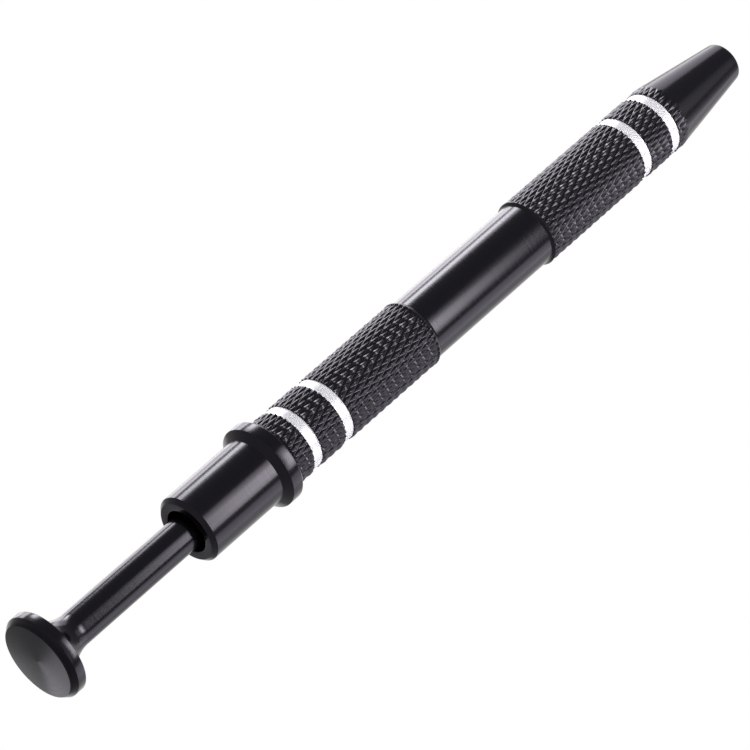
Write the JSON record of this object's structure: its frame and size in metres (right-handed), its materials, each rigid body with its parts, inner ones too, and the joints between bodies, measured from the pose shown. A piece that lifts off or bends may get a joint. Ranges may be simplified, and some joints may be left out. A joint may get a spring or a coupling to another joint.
{
  "type": "ic extractor",
  "caption": "Slim metal pick-up pen: pressing the thumb button pushes sprung wire claws out of the nose to lift small electronic parts.",
  "frame": {"origin": "centre of the thumb button's flat face, on which the pen stands", "axes": "+Z along the pen from the button to the nose; +X through the first claw"},
  "size_m": [0.0106, 0.0106, 0.12],
  "materials": {
    "anodised_black": "black anodised, satin on turned surfaces, knurled on the grips",
    "bright_steel": "ground rod, bright",
    "spring_steel": "drawn wire, semi-bright",
    "brass": "turned, bright"
  },
  "bodies": {
    "barrel": {"barrel": "anodised_black", "rear_cap": "anodised_black"},
    "return_spring": {"return_spring": "spring_steel"},
    "plunger": {"plunger": "anodised_black", "piston": "brass", "push_rod": "bright_steel", "claw_ferrule": "brass"},
    "claw_1": {"claw_1": "spring_steel"},
    "claw_2": {"claw_2": "spring_steel"},
    "claw_3": {"claw_3": "spring_steel"},
    "claw_4": {"claw_4": "spring_steel"}
  },
  "joints": [
    {"name": "plunger_turn", "type": "hinge", "parent": "barrel", "child": "return_spring", "pos_m": [0, 0, 0.05], "axis": [0, 0, 1], "continuous": true},
    {"name": "plunger_slide", "type": "slide", "parent": "return_spring", "child": "plunger", "axis": [0, 0, 1], "range_m": [0, 0.017], "stiffness_N_per_m": 330, "springref_m": -0.008, "deforming": ["return_spring"]},
    {"name": "claw_1_spread", "type": "hinge", "parent": "plunger", "child": "claw_1", "pos_m": [0.0004, 0, 0.09983], "axis": [0, 1, 0], "range_deg": [0, 8]},
    {"name": "claw_2_spread", "type": "hinge", "parent": "plunger", "child": "claw_2", "pos_m": [0, 0.0004, 0.09983], "axis": [-1, 0, 0], "range_deg": [0, 8]},
    {"name": "claw_3_spread", "type": "hinge", "parent": "plunger", "child": "claw_3", "pos_m": [-0.0004, 0, 0.09983], "axis": [0, -1, 0], "range_deg": [0, 8]},
    {"name": "claw_4_spread", "type": "hinge", "parent": "plunger", "child": "claw_4", "pos_m": [0, -0.0004, 0.09983], "axis": [1, 0, 0], "range_deg": [0, 8]}
  ],
  "couplings": [
    {"joint": "claw_1_spread", "follows": "plunger_slide", "rad_per_m": 8},
    {"joint": "claw_2_spread", "follows": "plunger_slide", "rad_per_m": 8},
    {"joint": "claw_3_spread", "follows": "plunger_slide", "rad_per_m": 8},
    {"joint": "claw_4_spread", "follows": "plunger_slide", "rad_per_m": 8}
  ]
}
